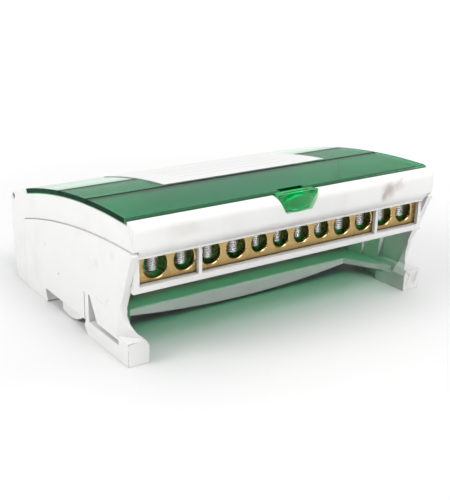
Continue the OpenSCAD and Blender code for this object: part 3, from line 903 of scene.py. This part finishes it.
@dataclass(frozen=True)
class ScrewSet:
    """All screws of one size on one bar, as a single piece.

    Attributes:
        bar: Bar that they clamp on.
        size: Their sizes.
        row: Bores that they stand over.
        around: Corners round a shank.
        per_turn: Rows of corners in one turn of the thread.
        slot_rows: Rows of corners from the middle of a slot to its wall.
        top_rows: Rows of corners from that wall to the head's rim.
        top_columns: Columns of corners across the head's top.
        turns: Angles of the first and the last screw before they are made uneven, in radians.
        uneven: Power that they are raised to, so that no two slots look alike.
    """

    bar: Bar
    size: ScrewSize
    row: BoreRow = BoreRow()
    around: int = 40
    per_turn: int = 12
    slot_rows: int = 3
    top_rows: int = 16
    top_columns: int = 9
    turns: Span = (0.3, 5.9)
    uneven: float = 1.3

    def shank(self, length: np.ndarray) -> tuple[np.ndarray, np.ndarray]:
        """Works out threaded shanks that hang from the bar's top.

        The two parameters are the way down the shank and the angle round it. Their phase is the way down
        over the pitch, plus the angle over a full turn, less whole turns. The flank rises in straight lines
        from 0 at a phase of a half to 1 on both sides. The radius is the outer one less the thread's depth
        times what the flank lacks of 1, and no more than a cone of 45 degrees at the tip allows.

        Args:
            length: Length of each shank.

        Returns:
            Corners, shaped (screws, rows, columns, 3), and how deep in the thread each of them lies.
        """
        size, outer = self.size, self.size.shank / 2
        rows = int(length.max() / size.pitch * self.per_turn)
        down = np.linspace(0.0, 1.0, rows)[None, :, None] * length[:, None, None]
        angle = np.linspace(0.0, 2 * np.pi, self.around, endpoint=False)[None, None, :]
        phase = (down / size.pitch + angle / (2 * np.pi)) % 1.0
        flank = np.clip(np.abs(phase - 0.5) * size.flank_slope - size.root_share, 0.0, 1.0)
        depth = size.thread_share * size.pitch
        cone = outer - depth * size.tip_share + length[:, None, None] - down
        radius = np.minimum(outer - depth * (1 - flank), cone)
        x, y = radius * np.cos(angle), radius * np.sin(angle)
        body = np.stack([x, y, np.broadcast_to(-down, x.shape)], axis=-1)
        tip = body[:, -1:] * np.array([0.0, 0.0, 1.0])
        groove = np.broadcast_to(1 - flank, x.shape)
        return np.concatenate([body, tip], axis=1), np.concatenate([groove, 0 * groove[:, -1:]], axis=1)

    def head(self) -> np.ndarray:
        """Works out the slotted head on the bar's top.

        The rows lie side by side across the slot. Half of a row's width is the half chord of the head's
        circle there: the root of the radius squared less the distance from the slot's middle squared. A row
        runs up the side, in over the chamfer, along the top and down the other side. Within the slot its
        top is lower by the slot's depth, and two rows at the same distance make the slot's wall.

        Returns:
            Corners of the head, shaped (1, rows, columns, 3).
        """
        size, radius = self.size, self.size.head / 2
        wall = size.slot_w / 2
        inside = np.linspace(0.0, wall, self.slot_rows)
        outside = radius * np.sin(np.linspace(math.asin(wall / radius), np.pi / 2, self.top_rows))
        half = np.concatenate([inside, outside])
        slotted = np.arange(len(half)) < self.slot_rows
        across = np.concatenate([-half[::-1], half])
        cut = np.concatenate([slotted[::-1], slotted])
        flat_r = radius - size.chamfer
        chord = np.sqrt(np.maximum(radius**2 - across**2, 0.0))
        flat = np.sqrt(np.maximum(flat_r**2 - across**2, 0.0))
        drop = np.maximum(np.abs(across) - flat_r, 0.0)
        top = np.where(cut, size.head_h - size.slot_h, size.head_h - drop)
        edge = np.where(cut, top, size.head_h - size.chamfer)
        seat = np.zeros_like(across)
        columns = [(seat, seat), (-chord, seat), (-chord, edge)]
        columns += [(flat * share, top) for share in np.linspace(-1.0, 1.0, self.top_columns)]
        columns += [(chord, edge), (chord, seat), (seat, seat)]
        return np.stack([np.stack([x, across, z], axis=-1) for x, z in columns], axis=1)[None]

    def placed(self, points: np.ndarray, seats: np.ndarray) -> np.ndarray:
        """Turns each screw by its own angle and sets it on its seat.

        Args:
            points: Corners about the screw's axis in millimetres, shaped (screws or 1, rows, columns, 3).
            seats: Where each axis meets the bar's top, in millimetres, shaped (screws, 3).

        Returns:
            The corners in metres, shaped (screws, rows, columns, 3).
        """
        angle = np.linspace(*self.turns, len(seats)) ** self.uneven
        cos, sin = np.cos(angle)[:, None, None], np.sin(angle)[:, None, None]
        x, y, z = np.moveaxis(points, -1, 0)
        spun = np.stack([x * cos - y * sin, x * sin + y * cos, z + 0 * cos], axis=-1)
        return (spun + seats[:, None, None]) * MM

    def build(self) -> bpy.types.Object:
        """Makes the piece.

        Returns:
            One object that holds every screw of the set.
        """
        low, high = (np.array(corner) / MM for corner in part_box(f"busbar_{self.bar.value}"))
        middle = (low + high) / 2
        chosen = np.array([kind in self.size.bores for kind in self.row.kinds])
        x = self.row.centres()[chosen]
        tip = middle[2] - self.row.tip_share * self.row.radii()[chosen]
        seats = np.stack([x, np.full_like(x, middle[1]), np.full_like(x, high[2])], axis=-1)
        shank, depth = self.shank(high[2] - tip)
        surface = Surface()
        surface.grid(self.placed(shank, seats), wrap=True, depth=depth)
        surface.grid(self.placed(self.head(), seats))
        made = surface.build(f"clamp_screws_{self.bar.value}_{self.size.label}")
        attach(made, CASE_BODY)
        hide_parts(f"screws_{self.bar.value}_{self.size.label}")
        return made


@dataclass(frozen=True)
class Camera:
    """Camera fitted to the photograph.

    Attributes:
        eye: Place of the camera in the row frame, in millimetres.
        heading: Degrees that it looks to the right of +Y.
        pitch: Degrees that it looks up.
        roll: Degrees that its top leans to the right.
        focal: Focal length over the longer side of the picture.
        sensor: Longer side of the sensor, in millimetres.
    """

    eye: Point = (-192.1, -285.0, 138.7)
    heading: float = 34.451
    pitch: float = -19.867
    roll: float = -0.948
    focal: float = 1.78186
    sensor: float = 36.0

    def build(self) -> bpy.types.Object:
        """Makes the scene's camera.

        Returns:
            The camera's object.
        """
        heading, pitch, roll = (math.radians(angle) for angle in (self.heading, self.pitch, self.roll))
        level = math.cos(pitch)
        ahead = Vector((math.sin(heading) * level, math.cos(heading) * level, math.sin(pitch)))
        flat = ahead.cross(Vector((0, 0, 1))).normalized()
        up = flat.cross(ahead) * math.cos(roll) + flat * math.sin(roll)
        data = bpy.data.cameras.new("camera")
        data.sensor_width = self.sensor
        data.lens = self.sensor * self.focal
        made = bpy.data.objects.new("camera", data)
        made.matrix_world = Matrix((ahead.cross(up), up, -ahead)).transposed().to_4x4()
        made.location = metres(self.eye)
        bpy.context.scene.collection.objects.link(made)
        bpy.context.scene.camera = made
        return made


@dataclass(frozen=True)
class Lamp:
    """A soft square lamp that looks at the block.

    Attributes:
        name: Name of the lamp.
        place: Where it stands, in metres.
        size: Length of its side, in metres.
        power: Its power, in watts.
        aim: Where it looks, in metres.
    """

    name: str
    place: Point
    size: float
    power: float
    aim: Point = (0.0, 0.0, 0.02)

    def build(self) -> bpy.types.Object:
        """Makes the lamp.

        Returns:
            The lamp's object.
        """
        data = bpy.data.lights.new(self.name, "AREA")
        data.size, data.energy = self.size, self.power
        made = bpy.data.objects.new(self.name, data)
        made.location = self.place
        made.rotation_mode = "QUATERNION"
        made.rotation_quaternion = (Vector(self.aim) - Vector(self.place)).to_track_quat("-Z", "Y")
        bpy.context.scene.collection.objects.link(made)
        return made


@dataclass(frozen=True)
class Studio:
    """Pale floor, soft lamps and a surround that is darker low in front than above and behind.

    Attributes:
        floor_half: Half side of the floor, in metres.
        floor_drop: How far the floor lies under the feet, in millimetres.
        paint: Brightness of the floor.
        dim: Stretch of floor before the block that sends less light back into the case's open front.
        far_glow: Light that the floor gives off far from the block, as a lit sweep does.
        glow_reach: Distances from the block at which that light starts and is full, in metres.
        floor_roughness: Roughness of the floor.
        floor_gloss: Strength of the floor's reflection.
        sky: Strength of the surround overhead.
        low_back: Strength of the surround near the ground behind the block.
        low_front: Strength of the surround near the ground before the block.
        rise: How far up a direction points where the sky starts and is full.
        turn: How far back it points where the front ends and the back is full.
        lamps: The lamps.
    """

    floor_half: float = 6.0
    floor_drop: float = 0.05
    paint: float = 0.84
    dim: Mark = Mark((0.0, -90.0, 0.0), (85.0, 100.0, 10.0), (0.1, 0.1, 0.1), 1.0, 0.4, 0.0, 0.0)
    far_glow: float = 0.45
    glow_reach: Span = (0.1, 0.6)
    floor_roughness: float = 0.9
    floor_gloss: float = 0.1
    sky: float = 1.15
    low_back: float = 0.42
    low_front: float = 0.08
    rise: Span = (0.55, 0.85)
    turn: Span = (-0.25, 0.35)
    lamps: tuple[Lamp, ...] = (
        Lamp("front", (0.0, -0.85, 1.1), 0.6, 5.5),
        Lamp("left", (-1.2, 0.1, 0.9), 0.6, 7.5),
        Lamp("right", (1.2, -0.25, 0.9), 0.6, 3.0),
        Lamp("low", (0.1, -1.35, 0.05), 0.08, 4.0),
    )

    def build(self) -> list[bpy.types.Object]:
        """Makes the surround, the lamps and the floor.

        Returns:
            The lamps and the floor.
        """
        scene = bpy.context.scene
        scene.view_settings.view_transform = "Standard"
        scene.world = self.surround()
        lamps = [lamp.build() for lamp in self.lamps]
        floor = self.floor()
        return [*lamps, floor]

    def surround(self) -> bpy.types.World:
        """Makes the world, which lights by direction and is white where it is seen, also through the cover.

        Returns:
            The world.
        """
        world = bpy.data.worlds.new("surround")
        world.use_nodes = True
        graph = Graph(world.node_tree)
        _, back, up = graph.split(graph.add("ShaderNodeNewGeometry").outputs["Position"])
        high = graph.ramp(up, self.rise)
        low = graph.ramp(back, self.turn, (self.low_front, self.low_back))
        light = graph.plus(graph.times(high, self.sky), graph.times(graph.minus(1.0, high), low))
        direct = graph.math("LESS_THAN", graph.ray("Diffuse Depth"), 0.5)
        through = graph.times(graph.ray("Is Transmission Ray"), direct)
        seen = graph.most(graph.ray("Is Camera Ray"), through)
        strength = graph.plus(graph.times(light, graph.minus(1.0, seen)), seen)
        graph.fill(world.node_tree.nodes["Background"], {"Color": WHITE, "Strength": strength})
        return world

    def floor(self) -> bpy.types.Object:
        """Makes the floor, a flat square.

        Returns:
            The floor with its paint.
        """
        reach = np.array([-self.floor_half, self.floor_half])
        x, y = np.meshgrid(reach, reach)
        surface = Surface()
        surface.grid(np.stack([x, y, np.full_like(x, -self.floor_drop * MM)], axis=-1)[None])
        made = surface.build("floor")
        paint = bpy.data.materials.new("floor")
        paint.use_nodes = True
        graph = Graph(paint.node_tree)
        sent_back = graph.times(self.dim.mask(graph), graph.ray("Is Diffuse Ray"))
        away = graph.scalar("LENGTH", graph.place())
        graph.fill(paint.node_tree.nodes["Principled BSDF"], {
            "Base Color": graph.mix(sent_back, dimmed(WHITE, self.paint), self.dim.colour),
            "Roughness": self.floor_roughness,
            "Specular IOR Level": self.floor_gloss,
            "Emission Color": WHITE,
            "Emission Strength": graph.ramp(away, self.glow_reach, (0.0, self.far_glow)),
        })
        made.data.materials.append(paint)
        return made


BROWN: Colour = (0.42, 0.33, 0.26)
GREY: Colour = (0.45, 0.44, 0.43)
INK: Colour = (0.05, 0.05, 0.05)
# A grain this coarse leaves a line whole.
WHOLE = 0.01

# Where the marked faces lie: front band and toes along Y, left end along X.
BAND, TOE, END = -51.0, -47.6, -67.5

CASE_MARKS_AND_SHADE: tuple[Mark | Scratch, ...] = (
    Mark((43.4, BAND, 45.6), (5.4, 3.0, 5.0), GREY, 0.4, 0.9, 0.6, 300.0),
    Mark((43.6, BAND, 46.2), (3.8, 3.0, 3.8), BROWN, 0.5, 0.9, 0.9),
    Mark((41.0, BAND, 43.6), (2.2, 2.6, 2.6), BROWN, 0.75, 0.9, 0.7),
    Mark((48.2, BAND, 47.4), (4.6, 3.0, 3.0), BROWN, 0.3, 0.9, 1.2, 520.0),
    Scratch((41.0, BAND, 44.0), (50.4, -50.6, 49.6), 1.0, BROWN, 0.4, 900.0),
    Mark((0.0, BAND, 40.0), (9.0, 3.0, 2.6), GREY, 0.22, 0.9, 1.0, 240.0),
    Mark((-46.0, BAND, 46.5), (12.0, 3.0, 4.0), BROWN, 0.14, 0.9, 1.2, 200.0),
    Mark((END, 6.6, 15.8), (0.6, 0.45, 0.45), INK, 0.8, 0.5, 0.3),
    Mark((END, 1.1, 4.2), (0.6, 0.4, 0.4), INK, 0.6, 0.5, 0.3),
    Mark((END, 18.2, 24.3), (0.6, 0.5, 0.8), GREY, 0.5, 0.6, 0.4),
    Mark((END, -25.7, 30.5), (0.6, 2.4, 2.6), GREY, 0.2, 0.9, 1.0),
    Mark((END, -37.8, 36.5), (0.6, 2.6, 3.0), GREY, 0.18, 0.9, 1.0),
    Scratch((END, -24.6, 17.4), (END, -31.8, 16.6), 0.4, GREY, 0.4),
    Scratch((END, -31.8, 16.6), (END, -34.6, 21.1), 0.45, GREY, 0.45),
    Scratch((END, 38.9, 0.5), (END, 38.9, 33.0), 0.45, GREY, 0.5, WHOLE),
    # Painted shade: a grey line down the left end along its corner with the front band.
    Scratch((-67.3, -48.0, 50.2), (-67.3, -49.8, 46.2), 0.7, GREY, 0.45, WHOLE),
    Scratch((-67.3, -49.8, 46.2), (-67.3, -50.8, 41.0), 0.7, GREY, 0.4, WHOLE),
    Scratch((-67.2, TOE, 8.4), (-63.9, TOE, 8.6), 0.5, BROWN, 0.75),
    Scratch((-67.4, TOE, 8.2), (-67.4, TOE, 0.4), 0.35, BROWN, 0.5),
    Scratch((60.6, TOE, 8.0), (62.6, TOE, 6.0), 0.5, BROWN, 0.6),
    Scratch((62.8, TOE, 7.8), (61.0, TOE, 2.3), 0.6, GREY, 0.5),
    Scratch((66.6, TOE, 7.6), (65.6, TOE, 2.2), 0.8, GREY, 0.6),
    Mark((64.6, TOE, 4.6), (2.6, 0.6, 3.2), GREY, 0.3, 0.9, 1.3, 600.0),
)

# Painted shade: a dark band along the lower edge of the front bar.
BAR_LOWER_SHADE = (Scratch((-64.6, -46.8, 28.2), (64.6, -46.8, 28.2), 3.4, (0.11, 0.06, 0.012), 1.0, WHOLE),)

# Blank lines to write on, each with its place across the cover and its height.
RULES = tuple(
    Scratch((-24.0, y, z), (28.0, y, z), 0.45, (0.3, 0.3, 0.3), 0.7, WHOLE)
    for y, z in ((-8.0, 50.5), (-2.0, 49.8), (4.0, 48.9), (10.0, 47.9))
)

FINISHES: tuple[Finish, ...] = (
    MouldedPlastic(Slot.WHITE, (0.9, 0.9, 0.885), 0.42, CASE_MARKS_AND_SHADE),
    ClearPlastic(Slot.GREEN, (0.04, 0.64, 0.3), 0.028),
    Paper(Slot.PAPER, (0.82, 0.82, 0.815), 0.75, RULES),
    DrawnBrass(Slot.BRASS, (0.475, 0.34, 0.14), 0.27, BAR_LOWER_SHADE),
    PlatedSteel(Slot.ZINC, (0.88, 0.9, 0.92), 0.42),
)

SCREW_SIZES = (
    ScrewSize("m5", (Bore.MEDIUM, Bore.LARGE), 5.0, 0.8, 7.0),
    ScrewSize("m4", (Bore.SMALL,), 4.0, 0.7, 6.0),
)


@dataclass
class Block:
    """The whole object: the CAD frame with its finishes and the rebuilt screws.

    Attributes:
        finishes: The finish of each slot.
        screw_sizes: The sizes of screw that each bar has.
    """

    frame: dict
    finishes: tuple[Finish, ...] = FINISHES
    screw_sizes: tuple[ScrewSize, ...] = SCREW_SIZES

    def __post_init__(self) -> None:
        """Makes the materials."""
        self.materials = {finish.slot.value: finish.material() for finish in self.finishes}

    def dress(self) -> list[bpy.types.Object]:
        """Gives every CAD node the material of its slot.

        Returns:
            The nodes.
        """
        nodes = []
        for part in self.frame["record"]["subparts"]:
            node = self.frame["nodes"][part["node"]]
            node.data.materials.clear()
            node.data.materials.append(self.materials[part["material_slot"]])
            nodes.append(node)
        return nodes

    def add_screws(self) -> list[bpy.types.Object]:
        """Replaces the plain screw groups by threaded ones.

        Returns:
            One piece for each size of screw on each bar.
        """
        pieces = [ScrewSet(bar, size).build() for bar in Bar for size in self.screw_sizes]
        for piece in pieces:
            piece.data.materials.append(self.materials[Slot.ZINC.value])
        return pieces


def report(deed: str, pieces: list[bpy.types.Object]) -> None:
    """Logs what was done with each piece."""
    for piece in pieces:
        LOG.info("%s %s", deed, piece.name)


def main() -> None:
    """Builds the scene in order and logs what was made."""
    logging.basicConfig(level=logging.INFO, format="%(name)s: %(message)s")
    bpy.ops.wm.read_factory_settings(use_empty=True)
    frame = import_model()
    block = Block(frame)
    report("dressed", block.dress())
    report("built", block.add_screws())
    report("set up", Studio().build())
    report("set up", [Camera().build()])


if __name__ == "__main__":
    main()
